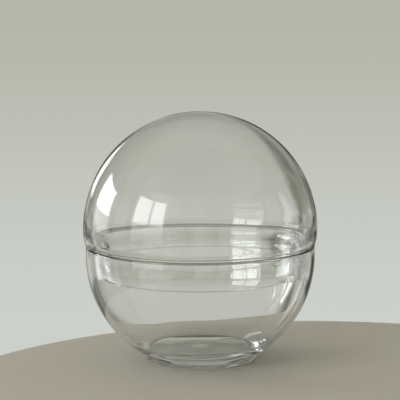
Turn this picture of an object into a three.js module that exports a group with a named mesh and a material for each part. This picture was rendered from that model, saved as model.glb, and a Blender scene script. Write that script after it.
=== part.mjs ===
// Glass globe terrarium: an open glass bowl and the domed glass lid that rests on its rim.
// Millimetres, +Z up. The origin is the centre of the ring that the bowl stands on.
import * as THREE from 'three';

// Driving dimensions
const SIDES = 60; // facets round the axis
const BALL_STEP = 7; // degrees of ball between two rings of points

const BOWL_RADIUS = 114.9;
const BOWL_WIDEST_HEIGHT = 105.3;
const RIM_HEIGHT = 116.3; // where the lid meets the bowl
const BOWL_WALL = 3.9;
const RIM_ROUNDING = 1.9;
const HEEL_ANGLE = -49; // where the wall's inside turns in to the floor, in degrees below the widest ring
const HEEL_REACH = 12;

const FOOT_RADIUS = 55.6;
const FOOT_ROUNDING = 2.4;
const FOOT_HEIGHT = 4;
const CONTACT_INSIDE_RADIUS = 50;
const CONTACT_OUTSIDE_RADIUS = FOOT_RADIUS - FOOT_ROUNDING;
const UNDERSIDE_RISE = 1.2; // how far the underside clears the table at its middle
const UNDERSIDE_EASING = [22, 38]; // radii that the underside's slope is drawn towards
const MOULD_MARK_RADIUS = 9;
const MOULD_MARK_DEPTH = 0.4;
const FLOOR_HEIGHT = 12;
const FLOOR_RADIUS = 30;
const FLOOR_DISH = 0.6; // how far the floor's edge stands above its middle
const FLOOR_SLOPE = [14, 2]; // run and rise of the floor at its edge
const FLOOR_EASING = 12; // radius inside which the floor is nearly level

const LID_RADIUS = 117.2;
const LID_WIDEST_HEIGHT = 132.2;
const LID_TOP_WALL = 2.3;
const LID_SIDE_WALL = 4;
const LID_WALL_SETTLES = 60; // degrees from the top at which the wall has come to its side thickness
const LID_THICKENING = 2.3; // added to the side wall just above the shoulder
const LID_THICKENING_ANGLE = 11; // where it begins, in degrees above the widest ring
const LID_INSIDE_ANGLE = -6.4; // where the ball's inside turns in to the shelf
const SHELF_HEIGHT = 118.4; // top of the flat ring that joins ball and collar
const SHELF_ROUNDING = 1;
const SHOULDER_RADIUS = 115.4;
const SHOULDER_HEIGHT = 125; // where the shoulder leaves the ball
const SHOULDER_ROUNDING = 1.6;
const SHOULDER_RISE = 3.2; // how far it stands nearly upright above the rim before it bulges out to the ball

const COLLAR_TOP_RADIUS = 106.2;
const COLLAR_END_RADIUS = 100.5;
const COLLAR_WALL = 3;
const COLLAR_END_HEIGHT = 86;
const COLLAR_FILLET = 1;
const COLLAR_EASING = 11; // how far up and down its ends the collar keeps their direction

const point = (radius, height) => new THREE.Vector2(radius, height);
const onBall = (radius, height, angle) => {
  const turn = THREE.MathUtils.degToRad(angle);
  return point(radius * Math.cos(turn), height + radius * Math.sin(turn));
};
const angleAt = (radius, rise) => THREE.MathUtils.radToDeg(Math.asin(rise / radius));

// A round corner or stretch of ball, from one angle to another in degrees
function arc(radius, centre, from, to, steps) {
  const turn = THREE.MathUtils.degToRad;
  const curve = new THREE.EllipseCurve(centre.x, centre.y, radius, radius, turn(from), turn(to), to < from);
  return curve.getPoints(steps);
}

// A soft change of direction between two stretches
function sweep(start, leave, arrive, end, steps) {
  return new THREE.CubicBezierCurve(start, leave, arrive, end).getPoints(steps);
}

// A stretch of ball drawn in equal steps, with a wall thickness that may change with the angle
function shell(radius, height, from, to, wall = () => 0) {
  const steps = Math.ceil(Math.abs(to - from) / BALL_STEP);
  return Array.from({ length: steps + 1 }, (_, i) => {
    const angle = from + (to - from) * i / steps;
    return onBall(radius - wall(angle), height, angle);
  });
}

// The direction in which a line of points ends, as a step of the given length
function onward(points, length) {
  const [before, last] = points.slice(-2);
  return last.clone().add(last.clone().sub(before).setLength(length));
}

// Turns an outline that starts and ends on the axis into a closed glass body
function blown(name, stretches) {
  const outline = stretches.flat();
  const clean = outline.filter((p, i) => i === 0 || p.distanceTo(outline[i - 1]) > 0.05);
  for (const end of [clean[0], clean[clean.length - 1]]) end.x = 0;
  const shape = new THREE.LatheGeometry(clean, SIDES);
  shape.rotateX(Math.PI / 2);
  const glass = new THREE.MeshStandardMaterial({
    color: 0xdfe8e2, roughness: 0.02, metalness: 0, transparent: true, opacity: 0.3,
  });
  const body = new THREE.Mesh(shape, glass);
  body.name = name;
  return body;
}

function makeBowl() {
  const outsideTop = angleAt(BOWL_RADIUS, RIM_HEIGHT - RIM_ROUNDING - BOWL_WIDEST_HEIGHT);
  const outsideLow = angleAt(BOWL_RADIUS, FOOT_HEIGHT - BOWL_WIDEST_HEIGHT);
  const rimOutside = onBall(BOWL_RADIUS, BOWL_WIDEST_HEIGHT, outsideTop).x;
  const rimInside = rimOutside - BOWL_WALL;
  const aboveFoot = onBall(BOWL_RADIUS, BOWL_WIDEST_HEIGHT, outsideLow);
  const belowBall = aboveFoot.clone().sub(onBall(1.2, 0, outsideLow + 90));

  const underside = [
    point(0, UNDERSIDE_RISE + MOULD_MARK_DEPTH),
    point(MOULD_MARK_RADIUS - 0.5, UNDERSIDE_RISE + MOULD_MARK_DEPTH - 0.05),
    ...sweep(point(MOULD_MARK_RADIUS, UNDERSIDE_RISE), point(UNDERSIDE_EASING[0], UNDERSIDE_RISE),
      point(UNDERSIDE_EASING[1], UNDERSIDE_RISE / 2), point(CONTACT_INSIDE_RADIUS, 0), 5),
  ];
  const footEdge = arc(FOOT_ROUNDING, point(CONTACT_OUTSIDE_RADIUS, FOOT_ROUNDING), -90, 0, 4);
  const footWaist = sweep(point(FOOT_RADIUS, FOOT_ROUNDING), point(FOOT_RADIUS, FOOT_HEIGHT - 0.9),
    belowBall, aboveFoot, 3);
  const outside = shell(BOWL_RADIUS, BOWL_WIDEST_HEIGHT, outsideLow, outsideTop);
  const rim = [
    ...arc(RIM_ROUNDING, point(rimOutside - RIM_ROUNDING, RIM_HEIGHT - RIM_ROUNDING), 0, 90, 3),
    ...arc(RIM_ROUNDING, point(rimInside + RIM_ROUNDING, RIM_HEIGHT - RIM_ROUNDING), 90, 180, 3),
  ];
  const inside = shell(BOWL_RADIUS - BOWL_WALL, BOWL_WIDEST_HEIGHT, outsideTop - 1, HEEL_ANGLE);
  const floorEdge = point(FLOOR_RADIUS, FLOOR_HEIGHT + FLOOR_DISH);
  const floorSlope = point(...FLOOR_SLOPE);
  const heel = sweep(inside[inside.length - 1], onward(inside, HEEL_REACH),
    floorEdge.clone().add(floorSlope), floorEdge, 6);
  const floor = sweep(floorEdge, floorEdge.clone().sub(floorSlope),
    point(FLOOR_EASING, FLOOR_HEIGHT), point(0, FLOOR_HEIGHT), 3);
  return blown('bowl', [underside, footEdge, footWaist, outside, rim, inside, heel, floor]);
}

function makeDomeLid() {
  const wall = (angle) => {
    const fallen = THREE.MathUtils.smoothstep(90 - angle, 0, LID_WALL_SETTLES);
    const side = THREE.MathUtils.lerp(LID_TOP_WALL, LID_SIDE_WALL, fallen);
    const near = Math.max(0, (LID_THICKENING_ANGLE - angle) / (LID_THICKENING_ANGLE - LID_INSIDE_ANGLE));
    return side + LID_THICKENING * near ** 2;
  };
  const inside = [
    ...shell(LID_RADIUS, LID_WIDEST_HEIGHT, 90, LID_THICKENING_ANGLE, wall),
    ...shell(LID_RADIUS, LID_WIDEST_HEIGHT, LID_THICKENING_ANGLE - 4, LID_INSIDE_ANGLE, wall),
  ];
  const collarInside = COLLAR_TOP_RADIUS - COLLAR_WALL;
  const ballEnd = inside[inside.length - 1];
  const shelfOutside = sweep(ballEnd, onward(inside, SHELF_ROUNDING),
    point(ballEnd.x - SHELF_ROUNDING / 2, SHELF_HEIGHT), point(ballEnd.x - SHELF_ROUNDING, SHELF_HEIGHT), 3);
  const shelfCentre = point(collarInside + SHELF_ROUNDING, SHELF_HEIGHT - SHELF_ROUNDING);
  const shelfInside = arc(SHELF_ROUNDING, shelfCentre, 90, 180, 3);

  const endRounding = COLLAR_WALL / 2;
  const endCentre = point(COLLAR_END_RADIUS - endRounding, COLLAR_END_HEIGHT + endRounding);
  const collarEnd = arc(endRounding, endCentre, 180, 360, 6);
  const filletCentre = point(COLLAR_TOP_RADIUS + COLLAR_FILLET, RIM_HEIGHT - COLLAR_FILLET);
  const collarOutside = sweep(point(COLLAR_END_RADIUS, endCentre.y),
    point(COLLAR_END_RADIUS + 0.3, endCentre.y + COLLAR_EASING),
    point(COLLAR_TOP_RADIUS, filletCentre.y - COLLAR_EASING), point(COLLAR_TOP_RADIUS, filletCentre.y), 3);
  const fillet = arc(COLLAR_FILLET, filletCentre, 180, 90, 2);

  const shoulderAngle = angleAt(LID_RADIUS, SHOULDER_HEIGHT - LID_WIDEST_HEIGHT);
  const shoulderTop = onBall(LID_RADIUS, LID_WIDEST_HEIGHT, shoulderAngle);
  const edgeCentre = point(SHOULDER_RADIUS - SHOULDER_ROUNDING, RIM_HEIGHT + SHOULDER_ROUNDING);
  const edge = arc(SHOULDER_ROUNDING, edgeCentre, -90, 0, 3);
  const shoulder = sweep(point(SHOULDER_RADIUS, edgeCentre.y),
    point(SHOULDER_RADIUS, RIM_HEIGHT + SHOULDER_RISE),
    shoulderTop.clone().sub(onBall(3, 0, shoulderAngle + 90)), shoulderTop, 5);
  const outside = shell(LID_RADIUS, LID_WIDEST_HEIGHT, shoulderAngle, 90);
  const shelf = [...shelfOutside, ...shelfInside];
  return blown('dome_lid', [inside, shelf, collarEnd, collarOutside, fillet, edge, shoulder, outside]);
}

const terrarium = new THREE.Group();
terrarium.add(makeBowl(), makeDomeLid());

export default terrarium;
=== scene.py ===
# Glass globe terrarium: an open glass bowl and the domed glass lid that rests on its rim.
# The frame is in metres with +Z up. The glass is drawn in millimetres and scaled when it is turned.
import math

import bpy
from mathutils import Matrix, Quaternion, Vector
from mathutils.geometry import interpolate_bezier


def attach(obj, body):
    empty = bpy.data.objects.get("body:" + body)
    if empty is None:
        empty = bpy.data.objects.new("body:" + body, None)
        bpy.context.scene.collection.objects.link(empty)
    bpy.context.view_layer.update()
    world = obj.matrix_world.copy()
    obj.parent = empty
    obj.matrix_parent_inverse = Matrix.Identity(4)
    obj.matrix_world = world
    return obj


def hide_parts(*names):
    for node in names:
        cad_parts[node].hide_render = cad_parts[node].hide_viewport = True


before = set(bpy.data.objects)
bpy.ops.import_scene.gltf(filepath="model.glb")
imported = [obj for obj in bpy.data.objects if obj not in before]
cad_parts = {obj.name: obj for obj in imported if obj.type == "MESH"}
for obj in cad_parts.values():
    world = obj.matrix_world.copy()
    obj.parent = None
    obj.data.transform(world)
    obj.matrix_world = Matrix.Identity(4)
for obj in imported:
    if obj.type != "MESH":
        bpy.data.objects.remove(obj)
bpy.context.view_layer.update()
scene = bpy.context.scene


# ---- Camera
# A long lens two metres away and higher than the globe, looking slightly down at a point just above the
# lid's widest ring. The picture leans by a fraction of a degree, as the hand-held photograph does.
AIM_HEIGHT = 0.1606
CAMERA_DISTANCE = 2.0
LOOK_DOWN = 8.3
LEAN = 0.25

camera_data = bpy.data.cameras.new("Camera")
camera_data.lens = 180
camera_data.sensor_width = 36
camera = bpy.data.objects.new("Camera", camera_data)
scene.collection.objects.link(camera)
down = math.radians(LOOK_DOWN)
look = Vector((0, math.cos(down), -math.sin(down)))
camera.location = Vector((0, 0, AIM_HEIGHT)) - CAMERA_DISTANCE * look
upright = look.to_track_quat("-Z", "Y")
camera.rotation_mode = "QUATERNION"
camera.rotation_quaternion = upright @ Quaternion((0, 0, 1), -math.radians(LEAN))
scene.camera = camera


# ---- Studio
# A pale plain backdrop all round, lit softly, as a bright field is for glassware. Grey and dark cards stand
# beside it at every quarter turn, and thin glass bends them into the dark lines of its edges. Soft lamps in
# the shape of windows stand round the globe and give its highlights. All angles are in degrees.
WALL_LOW = "#ccd0cb"
WALL_HIGH = "#b5b5a9"
ROOM_LOW = "#c3c3bc"
ROOM_HIGH = "#b4b3a7"
CEILING = "#a6a69d"
UNDER_TABLE = "#68685f"
CARD_SOFTNESS = 2
CARDS = (  # azimuth from each quarter turn, elevation, tone
    (10, 34, -7, 40, "#77786c"),
    (5.4, 10.5, -4.5, 40, "#2c2d22"),
    (5.8, 12, -11, -4.5, "#6c6d5a"),
    (8.6, 15, -16, -10, "#6a6b5f"),
    (5.6, 7.6, -15, -11, "#3e3f33"),
    (11, 18, 0, 36, "#5f6055"),
    (11, 18, -7, 0, "#36372f"),
    (15, 30, -19, -9, "#45463e"),
    (-18, -11, -18, -9, "#8d8e85"),
    (-18, -13.5, -9, -3, "#2b2c26"),
    (-18, -11, -3, 18, "#2b2c26"),
    (-33, -28, -9, 8, "#55564c"),
)
LAMP_SOFTNESS = 1
LAMPS = (  # azimuth from straight behind the globe, elevation, strength
    (-143, -129, 8, 30, 4.5),  # a window's left pane
    (-127, -109, 8, 30, 4.5),  # its right pane, past the bar between them
    (-143, -109, -7, 8, 1.2),  # its faint lower part
    (-143, -122, 31, 38, 0.6),  # a pale block above its left pane
    (-76, -50, 5, 21, 6),  # a tall window at the left
    (-77, -50, -17, 5, 1.3),  # its faint lower part
    (-31, -21, 0, 12, 1.2),  # a strip lamp beside the backdrop
)


def linear(hex_colour):
    """An sRGB hex value as linear RGBA."""
    parts = [int(hex_colour[i:i + 2], 16) / 255 for i in (1, 3, 5)]
    return [p / 12.92 if p <= 0.04045 else ((p + 0.055) / 1.055) ** 2.4 for p in parts] + [1.0]


def add(tree, kind, inputs=None, **settings):
    """Adds a node with its settings. Its inputs get values, or links from other nodes' sockets."""
    node = tree.nodes.new(kind)
    for name, value in settings.items():
        setattr(node, name, value)
    for socket, value in (inputs or {}).items():
        if isinstance(value, bpy.types.NodeSocket):
            tree.links.new(value, node.inputs[socket])
        else:
            node.inputs[socket].default_value = value
    return node


world = bpy.data.worlds.new("Studio")
scene.world = world
world.use_nodes = True
studio = world.node_tree
studio.nodes.clear()
direction = add(studio, "ShaderNodeTexCoord").outputs["Generated"]
axes = add(studio, "ShaderNodeSeparateXYZ", {0: direction})
level = {0: axes.outputs["X"], 1: axes.outputs["Y"]}
azimuth = add(studio, "ShaderNodeMath", level, operation="ARCTAN2").outputs[0]
elevation = add(studio, "ShaderNodeMath", {0: axes.outputs["Z"]}, operation="ARCSINE").outputs[0]
repeated = {0: azimuth, 1: math.pi / 4, 2: -math.pi / 4}
quarter = add(studio, "ShaderNodeMath", repeated, operation="WRAP").outputs[0]


def between(value, low, high, soft):
    """1 where the angle lies between low and high, with soft edges."""
    rise = add(studio, "ShaderNodeMapRange", {
        "Value": value,
        "From Min": math.radians(low - soft / 2),
        "From Max": math.radians(low + soft / 2),
    }, interpolation_type="SMOOTHSTEP")
    fall = add(studio, "ShaderNodeMapRange", {
        "Value": value,
        "From Min": math.radians(high - soft / 2),
        "From Max": math.radians(high + soft / 2),
        "To Min": 1,
        "To Max": 0,
    }, interpolation_type="SMOOTHSTEP")
    both = {0: rise.outputs[0], 1: fall.outputs[0]}
    return add(studio, "ShaderNodeMath", both, operation="MULTIPLY").outputs[0]


def patch(side, left, right, low, high, soft):
    """1 inside a patch of the room, bounded by azimuths and elevations."""
    both = {0: between(side, left, right, soft), 1: between(elevation, low, high, soft)}
    return add(studio, "ShaderNodeMath", both, operation="MULTIPLY").outputs[0]


def painted(base, part, tone):
    """The room's colour so far, with a tone painted over part of it."""
    layers = {"Factor": part, 6: base, 7: linear(tone)}
    return add(studio, "ShaderNodeMix", layers, data_type="RGBA").outputs[2]


climb = between(elevation, low=-7, high=100, soft=10)
colour = painted(linear(ROOM_LOW), climb, ROOM_HIGH)
colour = painted(colour, between(elevation, low=-100, high=-15.5, soft=3), UNDER_TABLE)
for left, right, low, high, tone in CARDS:
    colour = painted(colour, patch(quarter, left, right, low, high, CARD_SOFTNESS), tone)
colour = painted(colour, between(elevation, low=8, high=90, soft=14), CEILING)
room = add(studio, "ShaderNodeBackground", {"Color": colour})

glow = 0.0
for left, right, low, high, strength in LAMPS:
    pane = patch(azimuth, left, right, low, high, LAMP_SOFTNESS)
    sum_of_lamps = {0: pane, 1: float(strength), 2: glow}
    glow = add(studio, "ShaderNodeMath", sum_of_lamps, operation="MULTIPLY_ADD").outputs[0]
lamps = add(studio, "ShaderNodeBackground", {"Color": linear("#ffffff"), "Strength": glow})
lit_room = add(studio, "ShaderNodeAddShader", {0: room.outputs[0], 1: lamps.outputs[0]})

# The camera itself sees the backdrop alone. The cards and lamps show only through and in the glass.
wall = painted(linear(WALL_LOW), climb, WALL_HIGH)
backdrop = add(studio, "ShaderNodeBackground", {"Color": wall})
seen_directly = add(studio, "ShaderNodeLightPath").outputs["Is Camera Ray"]
either = {0: seen_directly, 1: lit_room.outputs[0], 2: backdrop.outputs[0]}
view_of_room = add(studio, "ShaderNodeMixShader", either)
add(studio, "ShaderNodeOutputWorld", {"Surface": view_of_room.outputs[0]})

# Where bowl and collar overlap, light crosses eight glass faces, and it bounces inside their edges.
GLASS_BOUNCES = 24
scene.view_settings.view_transform = "Standard"
scene.cycles.max_bounces = GLASS_BOUNCES
scene.cycles.transmission_bounces = GLASS_BOUNCES
scene.cycles.glossy_bounces = GLASS_BOUNCES


# ---- Table
# A round table top of pale board, cut to a circle, sanded and sprayed with matt lacquer. Its far edge
# shows through the bowl as a low horizon. It isn't part of the object.
TABLE_CENTRE = (0.106, -0.195)
TABLE_RADIUS = 0.372
TABLE_THICKNESS = 0.025
TABLE_SIDES = 256
TABLE_COLOUR = "#dcd6cb"
TABLE_PALER = "#e0dacf"
CLOUD_SIZE = 0.0714  # 71.4 mm
ORANGE_PEEL_SIZE = 0.00111  # 1.11 mm


def table_ring(height):
    """Points round the table's edge at one height."""
    turns = [2 * math.pi * i / TABLE_SIDES for i in range(TABLE_SIDES)]
    across, away = TABLE_CENTRE
    return [(across + TABLE_RADIUS * math.cos(t), away + TABLE_RADIUS * math.sin(t), height) for t in turns]


table_top = tuple(range(TABLE_SIDES))
table_underside = tuple(range(2 * TABLE_SIDES - 1, TABLE_SIDES - 1, -1))
next_corners = [(i + 1) % TABLE_SIDES for i in table_top]
table_edge = [(i + TABLE_SIDES, j + TABLE_SIDES, j, i) for i, j in zip(table_top, next_corners)]
floor_mesh = bpy.data.meshes.new("floor")
floor_points = table_ring(0) + table_ring(-TABLE_THICKNESS)
floor_mesh.from_pydata(floor_points, [], [table_top, table_underside, *table_edge])
floor = bpy.data.objects.new("floor", floor_mesh)
scene.collection.objects.link(floor)

# Board under sprayed matt lacquer: an even pale tone with faint clouds where the coat is thicker, and an
# orange peel about a millimetre wide that breaks up its low sheen.
lacquer = bpy.data.materials.new("Matt lacquered board")
lacquer.use_nodes = True
shading = lacquer.node_tree
shading.nodes.clear()
place = add(shading, "ShaderNodeTexCoord").outputs["Object"]
clouds = add(shading, "ShaderNodeTexNoise", {"Vector": place, "Scale": 1 / CLOUD_SIZE, "Detail": 3})
tone = add(shading, "ShaderNodeMix", {
    "Factor": clouds.outputs[0],
    6: linear(TABLE_COLOUR),
    7: linear(TABLE_PALER),
}, data_type="RGBA")
orange_peel = add(shading, "ShaderNodeTexNoise", {
    "Vector": place,
    "Scale": 1 / ORANGE_PEEL_SIZE,
    "Detail": 1,
})
relief = add(shading, "ShaderNodeBump", {
    "Height": orange_peel.outputs[0],
    "Strength": 0.1,
    "Distance": 0.0001,
})
board = add(shading, "ShaderNodeBsdfPrincipled", {
    "Base Color": tone.outputs[2],
    "Roughness": 0.55,
    "Normal": relief.outputs[0],
})
add(shading, "ShaderNodeOutputMaterial", {"Surface": board.outputs[0]})
floor_mesh.materials.append(lacquer)


# ---- Bowl
# The open lower half of the globe. A gather of clear soda-lime glass is blown into a mould, which leaves a
# thick base on a low foot ring, and the rim is cut and rounded in a flame. The bowl stands on the ring by
# its weight.
BOWL_RADIUS = 114.9
BOWL_WIDEST_HEIGHT = 105.3
RIM_HEIGHT = 116.3
BOWL_WALL = 3.9
RIM_ROUNDING = 1.9
SEAT_GAP = 0.1  # what the two fire-polished faces leave between them, touching only at their high spots
HEEL_ANGLE = -49  # where the wall's inside turns in to the floor, in degrees below the widest ring
HEEL_REACH = 12
FOOT_RADIUS = 55.6
FOOT_ROUNDING = 2.4
FOOT_HEIGHT = 4
CONTACT_INSIDE_RADIUS = 50
CONTACT_OUTSIDE_RADIUS = FOOT_RADIUS - FOOT_ROUNDING
UNDERSIDE_RISE = 1.2  # how far the underside clears the table at its middle
UNDERSIDE_EASING = (22, 38)  # radii that the underside's slope is drawn towards
MOULD_MARK_RADIUS = 9
MOULD_MARK_DEPTH = 0.4
FLOOR_HEIGHT = 12
FLOOR_RADIUS = 30
FLOOR_DISH = 0.6  # how far the floor's edge stands above its middle
FLOOR_SLOPE = (14, 2)  # run and rise of the floor at its edge
FLOOR_EASING = 12  # radius inside which the floor is nearly level
BOWL_WAVE = 0.10  # how far the wall stands in and out along its waves, from hollow to crest
WAVE_LENGTH = 50
CALM_REACH = 20  # distance from table and seat over which the waves come to their full height
GLASS_SIDES = 256
SAME_PLACE = 0.02
SMEAR_SIZE = 40
GLASS = "#feffff"
GLASS_DEPTH = "#c6e0d2"


def on_ball(radius, height, angle):
    """A point of an outline (radius, height) on a ball, at an angle above its widest ring."""
    turn = math.radians(angle)
    return Vector((radius * math.cos(turn), height + radius * math.sin(turn)))


def angle_at(radius, rise):
    """The angle on a ball at which it has risen this far above its widest ring."""
    return math.degrees(math.asin(rise / radius))


def rounded(radius, centre, start, end):
    """A corner rounded in the flame, in steps of about ten degrees."""
    steps = math.ceil(abs(end - start) / 10)
    return [Vector(centre) + on_ball(radius, 0, start + (end - start) * i / steps) for i in range(steps + 1)]


def sweep(start, leave, arrive, end, steps):
    """A soft change of direction between two stretches."""
    knots = [Vector((*point, 0)) for point in (start, leave, arrive, end)]
    return [point.xy for point in interpolate_bezier(*knots, steps + 1)]


def shell(radius, height, start, end, wall=lambda angle: 0):
    """A stretch of ball in steps of 1.5 degrees, with a short step at each end that holds its direction."""
    steps = math.ceil(abs(end - start) / 1.5)
    parts = [0, 0.1 / steps, *(i / steps for i in range(1, steps)), 1 - 0.1 / steps, 1]
    angles = [start + (end - start) * part for part in parts]
    return [on_ball(radius - wall(angle), height, angle) for angle in angles]


def onward(points, length):
    """The point that lies the given length beyond a line of points, in the direction in which it ends."""
    return points[-1] + (points[-1] - points[-2]).normalized() * length


def lathe_tree():
    """Turns an outline round Z into a closed body and gives its walls the slow waves of blown glass."""
    tree = bpy.data.node_groups.new("Blown glass lathe", "GeometryNodeTree")
    tree.interface.new_socket(name="Geometry", in_out="OUTPUT", socket_type="NodeSocketGeometry")
    named_inputs = {
        "Outline": "Geometry",
        "Sides": "Int",
        "Wave Height": "Float",
        "Wave Length": "Float",
        "Seat Height": "Float",
        "Calm Reach": "Float",
        "Seed": "Float",
        "Glass": "Material",
    }
    for name, kind in named_inputs.items():
        tree.interface.new_socket(name=name, in_out="INPUT", socket_type="NodeSocket" + kind)
    given = add(tree, "NodeGroupInput").outputs

    # A grid with a row of vertices for each point of the outline
    points = add(tree, "GeometryNodeAttributeDomainSize", {0: given["Outline"]}).outputs["Point Count"]
    columns = add(tree, "FunctionNodeIntegerMath", {0: given["Sides"], 1: 1}, operation="ADD").outputs[0]
    sheet = add(tree, "GeometryNodeMeshGrid", {"Vertices X": points, "Vertices Y": columns}).outputs["Mesh"]
    sheet = add(tree, "GeometryNodeFlipFaces", {"Mesh": sheet}).outputs["Mesh"]

    # The grid wrapped round the axis and closed at its seam and poles
    position = add(tree, "GeometryNodeInputPosition").outputs[0]
    cell = {0: add(tree, "GeometryNodeInputIndex").outputs[0], 1: columns}
    along = add(tree, "FunctionNodeIntegerMath", cell, operation="DIVIDE_FLOOR").outputs[0]
    column = add(tree, "FunctionNodeIntegerMath", cell, operation="MODULO").outputs[0]
    part = add(tree, "ShaderNodeMath", {0: column, 1: given["Sides"]}, operation="DIVIDE").outputs[0]
    turn = add(tree, "ShaderNodeMath", {0: part, 1: 2 * math.pi}, operation="MULTIPLY").outputs[0]
    drawn = add(tree, "GeometryNodeSampleIndex", {
        "Geometry": given["Outline"],
        "Value": position,
        "Index": along,
    }, data_type="FLOAT_VECTOR").outputs[0]
    turned = add(tree, "ShaderNodeVectorRotate", {"Vector": drawn, "Angle": turn}, rotation_type="Z_AXIS")
    wrapped = add(tree, "GeometryNodeSetPosition", {"Geometry": sheet, "Position": turned.outputs[0]})
    closed = add(tree, "GeometryNodeMergeByDistance", {"Geometry": wrapped.outputs[0], "Distance": 0.000001})

    # Slow waves that die away towards the table and the seat, where the pieces touch
    fineness = add(tree, "ShaderNodeMath", {0: 1.0, 1: given["Wave Length"]}, operation="DIVIDE").outputs[0]
    wave = add(tree, "ShaderNodeTexNoise", {
        "Vector": position,
        "W": given["Seed"],
        "Scale": fineness,
        "Detail": 1,
    }, noise_dimensions="4D").outputs[0]
    height = add(tree, "ShaderNodeSeparateXYZ", {0: position}).outputs["Z"]
    above_seat = add(tree, "ShaderNodeMath", {0: height, 1: given["Seat Height"]}, operation="SUBTRACT")
    from_seat = add(tree, "ShaderNodeMath", {0: above_seat.outputs[0]}, operation="ABSOLUTE")
    nearer = add(tree, "ShaderNodeMath", {0: from_seat.outputs[0], 1: height}, operation="MINIMUM")
    calm = add(tree, "ShaderNodeMapRange", {
        "Value": nearer.outputs[0],
        "From Max": given["Calm Reach"],
        "To Max": given["Wave Height"],
    }, interpolation_type="SMOOTHSTEP").outputs[0]
    centred = add(tree, "ShaderNodeMath", {0: wave, 1: 0.5}, operation="SUBTRACT").outputs[0]
    lift = add(tree, "ShaderNodeMath", {0: centred, 1: calm}, operation="MULTIPLY").outputs[0]
    outward = add(tree, "GeometryNodeInputNormal").outputs[0]
    step = add(tree, "ShaderNodeVectorMath", {0: outward, "Scale": lift}, operation="SCALE").outputs[0]
    waved = add(tree, "GeometryNodeSetPosition", {"Geometry": closed.outputs[0], "Offset": step}).outputs[0]

    smooth = add(tree, "GeometryNodeSetShadeSmooth", {"Geometry": waved}).outputs[0]
    real = add(tree, "GeometryNodeRealizeInstances", {"Geometry": smooth}).outputs[0]
    glazed = add(tree, "GeometryNodeSetMaterial", {"Geometry": real, "Material": given["Glass"]}).outputs[0]
    add(tree, "NodeGroupOutput", {0: glazed})
    return tree


def turn_glass(name, stretches, seed, wave_height):
    """Turns the outline's stretches, which start and end on the axis, into the named glass body."""
    outline = [point / 1000 for stretch in stretches for point in stretch]
    # Where one stretch ends and the next starts at the same place, only one point stays
    outline = [p for i, p in enumerate(outline) if i == 0 or (p - outline[i - 1]).length > SAME_PLACE / 1000]
    outline[0].x = outline[-1].x = 0
    drawn = bpy.data.meshes.new(name + "_outline")
    drawn.from_pydata([(p.x, 0, p.y) for p in outline], [(i, i + 1) for i in range(len(outline) - 1)], [])
    draft = bpy.data.objects.new(name + "_outline", drawn)
    scene.collection.objects.link(draft)
    lathe = draft.modifiers.new("Lathe", "NODES")
    lathe.node_group = LATHE
    values = {
        "Sides": GLASS_SIDES,
        "Wave Height": wave_height / 1000,
        "Wave Length": WAVE_LENGTH / 1000,
        "Seat Height": RIM_HEIGHT / 1000,
        "Calm Reach": CALM_REACH / 1000,
        "Seed": float(seed),
        "Glass": glass,
    }
    for socket in LATHE.interface.items_tree:
        if socket.name in values:
            lathe[socket.identifier] = values[socket.name]
    turned = bpy.data.meshes.new_from_object(draft.evaluated_get(bpy.context.evaluated_depsgraph_get()))
    draft.modifiers.remove(lathe)
    bpy.data.objects.remove(draft)
    turned.name = name
    # The lathe leaves an empty material slot before the glass
    turned.materials.clear()
    turned.materials.append(glass)
    turned.polygons.foreach_set("material_index", [0] * len(turned.polygons))
    body = bpy.data.objects.new(name + "_glass", turned)
    scene.collection.objects.link(body)
    return body


# Clear soda-lime glass, blown and fire-polished: bright mirror-like skin, clear through the wall and faintly
# green along it. Handling leaves thin smears that only dull its reflections.
glass = bpy.data.materials.new("Blown soda-lime glass")
glass.use_nodes = True
shading = glass.node_tree
shading.nodes.clear()
place = add(shading, "ShaderNodeTexCoord").outputs["Object"]
smears = add(shading, "ShaderNodeTexNoise", {
    "Vector": place,
    "Scale": 1000 / SMEAR_SIZE,
    "Detail": 4,
    "Distortion": 0.6,
})
dullness = add(shading, "ShaderNodeMapRange", {
    "Value": smears.outputs[0],
    "From Min": 0.55,
    "From Max": 0.8,
    "To Min": 0.0,
    "To Max": 0.05,
})
skin = add(shading, "ShaderNodeBsdfPrincipled", {
    "Base Color": linear(GLASS),
    "Roughness": dullness.outputs[0],
    "IOR": 1.52,
    "Transmission Weight": 1.0,
})
depth = add(shading, "ShaderNodeVolumeAbsorption", {"Color": linear(GLASS_DEPTH), "Density": 1.5})
add(shading, "ShaderNodeOutputMaterial", {"Surface": skin.outputs[0], "Volume": depth.outputs[0]})

LATHE = lathe_tree()

rim_centre = RIM_HEIGHT - SEAT_GAP - RIM_ROUNDING
outside_top = angle_at(BOWL_RADIUS, rim_centre - BOWL_WIDEST_HEIGHT)
outside_low = angle_at(BOWL_RADIUS, FOOT_HEIGHT - BOWL_WIDEST_HEIGHT)
rim_outside = on_ball(BOWL_RADIUS, BOWL_WIDEST_HEIGHT, outside_top).x
rim_inside = rim_outside - BOWL_WALL
above_foot = on_ball(BOWL_RADIUS, BOWL_WIDEST_HEIGHT, outside_low)
below_ball = above_foot - on_ball(1.2, 0, outside_low + 90)

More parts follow.
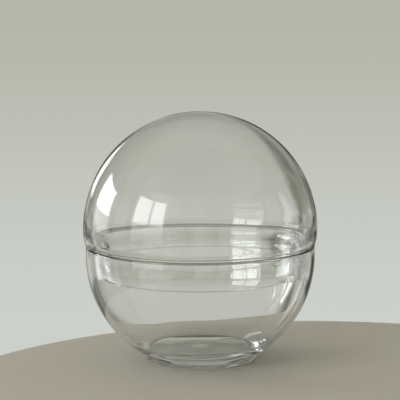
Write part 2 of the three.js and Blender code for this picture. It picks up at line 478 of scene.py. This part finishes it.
underside = [
    Vector((0, UNDERSIDE_RISE + MOULD_MARK_DEPTH)),
    Vector((MOULD_MARK_RADIUS - 1.2, UNDERSIDE_RISE + MOULD_MARK_DEPTH)),
    Vector((MOULD_MARK_RADIUS - 0.6, UNDERSIDE_RISE + MOULD_MARK_DEPTH - 0.1)),
    Vector((MOULD_MARK_RADIUS - 0.2, UNDERSIDE_RISE + 0.1)),
    *sweep((MOULD_MARK_RADIUS + 0.4, UNDERSIDE_RISE), (UNDERSIDE_EASING[0], UNDERSIDE_RISE),
           (UNDERSIDE_EASING[1], UNDERSIDE_RISE / 2), (CONTACT_INSIDE_RADIUS, 0), 16),
]
foot_edge = rounded(FOOT_ROUNDING, (CONTACT_OUTSIDE_RADIUS, FOOT_ROUNDING), -90, 0)
foot_waist = sweep((FOOT_RADIUS, FOOT_ROUNDING), (FOOT_RADIUS, FOOT_HEIGHT - 0.9),
                   below_ball, above_foot, 8)
outside = shell(BOWL_RADIUS, BOWL_WIDEST_HEIGHT, outside_low, outside_top)
rim = [
    *rounded(RIM_ROUNDING, (rim_outside - RIM_ROUNDING, rim_centre), 0, 90),
    *rounded(RIM_ROUNDING, (rim_inside + RIM_ROUNDING, rim_centre), 90, 180),
]
inside = shell(BOWL_RADIUS - BOWL_WALL, BOWL_WIDEST_HEIGHT, outside_top - 1, HEEL_ANGLE)
floor_edge = Vector((FLOOR_RADIUS, FLOOR_HEIGHT + FLOOR_DISH))
floor_slope = Vector(FLOOR_SLOPE)
heel = sweep(inside[-1], onward(inside, HEEL_REACH), floor_edge + floor_slope, floor_edge, 20)
inner_floor = sweep(floor_edge, floor_edge - floor_slope, (FLOOR_EASING, FLOOR_HEIGHT), (0, FLOOR_HEIGHT), 14)

bowl_outline = [underside, foot_edge, foot_waist, outside, rim, inside, heel, inner_floor]
bowl = turn_glass("bowl", bowl_outline, seed=3, wave_height=BOWL_WAVE)
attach(bowl, "root")
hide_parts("bowl")


# ---- Dome lid
# The upper part of the globe, blown from the same glass in its own mould and cut open below. Its shoulder
# rests on the bowl's rim, and the collar under the shoulder hangs inside the rim, so the lid can't slide off.
LID_RADIUS = 117.2
LID_WIDEST_HEIGHT = 132.2
LID_TOP_WALL = 2.3
LID_SIDE_WALL = 4
LID_WALL_SETTLES = 60  # degrees from the top at which the wall has come to its side thickness
LID_THICKENING = 2.3  # added to the side wall just above the shoulder
LID_THICKENING_ANGLE = 11  # where it begins, in degrees above the widest ring
LID_INSIDE_ANGLE = -6.4  # where the ball's inside turns in to the shelf
SHELF_HEIGHT = 118.4  # top of the flat ring that joins ball and collar
SHELF_ROUNDING = 1
SHOULDER_RADIUS = 115.4
SHOULDER_HEIGHT = 125  # where the shoulder leaves the ball
SHOULDER_ROUNDING = 1.6
SHOULDER_RISE = 3.2  # how far it stands nearly upright above the rim before it bulges out to the ball
COLLAR_TOP_RADIUS = 106.2
COLLAR_END_RADIUS = 100.5
COLLAR_WALL = 3
COLLAR_END_HEIGHT = 86
COLLAR_FILLET = 1
COLLAR_EASING = 11  # how far up and down its ends the collar keeps their direction
LID_WAVE = 0.20


def lid_wall(angle):
    """The wall's thickness at an angle above the lid's widest ring."""
    fallen = min(max((90 - angle) / LID_WALL_SETTLES, 0), 1)
    side = LID_TOP_WALL + (LID_SIDE_WALL - LID_TOP_WALL) * fallen * fallen * (3 - 2 * fallen)
    near = max(0, (LID_THICKENING_ANGLE - angle) / (LID_THICKENING_ANGLE - LID_INSIDE_ANGLE))
    return side + LID_THICKENING * near ** 2


dome_inside = shell(LID_RADIUS, LID_WIDEST_HEIGHT, 90, LID_INSIDE_ANGLE, lid_wall)
collar_inside = COLLAR_TOP_RADIUS - COLLAR_WALL
ball_end = dome_inside[-1]
shelf_outside = sweep(ball_end, onward(dome_inside, SHELF_ROUNDING),
                      (ball_end.x - SHELF_ROUNDING / 2, SHELF_HEIGHT),
                      (ball_end.x - SHELF_ROUNDING, SHELF_HEIGHT), 12)
shelf_centre = (collar_inside + SHELF_ROUNDING, SHELF_HEIGHT - SHELF_ROUNDING)
shelf_inside = rounded(SHELF_ROUNDING, shelf_centre, 90, 180)

end_rounding = COLLAR_WALL / 2
end_centre = Vector((COLLAR_END_RADIUS - end_rounding, COLLAR_END_HEIGHT + end_rounding))
collar_end = rounded(end_rounding, end_centre, 180, 360)
fillet_centre = Vector((COLLAR_TOP_RADIUS + COLLAR_FILLET, RIM_HEIGHT - COLLAR_FILLET))
collar_outside = sweep((COLLAR_END_RADIUS, end_centre.y),
                       (COLLAR_END_RADIUS + 0.3, end_centre.y + COLLAR_EASING),
                       (COLLAR_TOP_RADIUS, fillet_centre.y - COLLAR_EASING),
                       (COLLAR_TOP_RADIUS, fillet_centre.y), 14)
fillet = rounded(COLLAR_FILLET, fillet_centre, 180, 90)

shoulder_angle = angle_at(LID_RADIUS, SHOULDER_HEIGHT - LID_WIDEST_HEIGHT)
shoulder_top = on_ball(LID_RADIUS, LID_WIDEST_HEIGHT, shoulder_angle)
edge_centre = Vector((SHOULDER_RADIUS - SHOULDER_ROUNDING, RIM_HEIGHT + SHOULDER_ROUNDING))
shoulder_edge = rounded(SHOULDER_ROUNDING, edge_centre, -90, 0)
shoulder = sweep((SHOULDER_RADIUS, edge_centre.y), (SHOULDER_RADIUS, RIM_HEIGHT + SHOULDER_RISE),
                 shoulder_top - on_ball(3, 0, shoulder_angle + 90), shoulder_top, 14)
dome_outside = shell(LID_RADIUS, LID_WIDEST_HEIGHT, shoulder_angle, 90)

lid_outline = [dome_inside, shelf_outside, shelf_inside, collar_end,
               collar_outside, fillet, shoulder_edge, shoulder, dome_outside]
lid = turn_glass("dome_lid", lid_outline, seed=8, wave_height=LID_WAVE)
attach(lid, "root")
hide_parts("dome_lid")
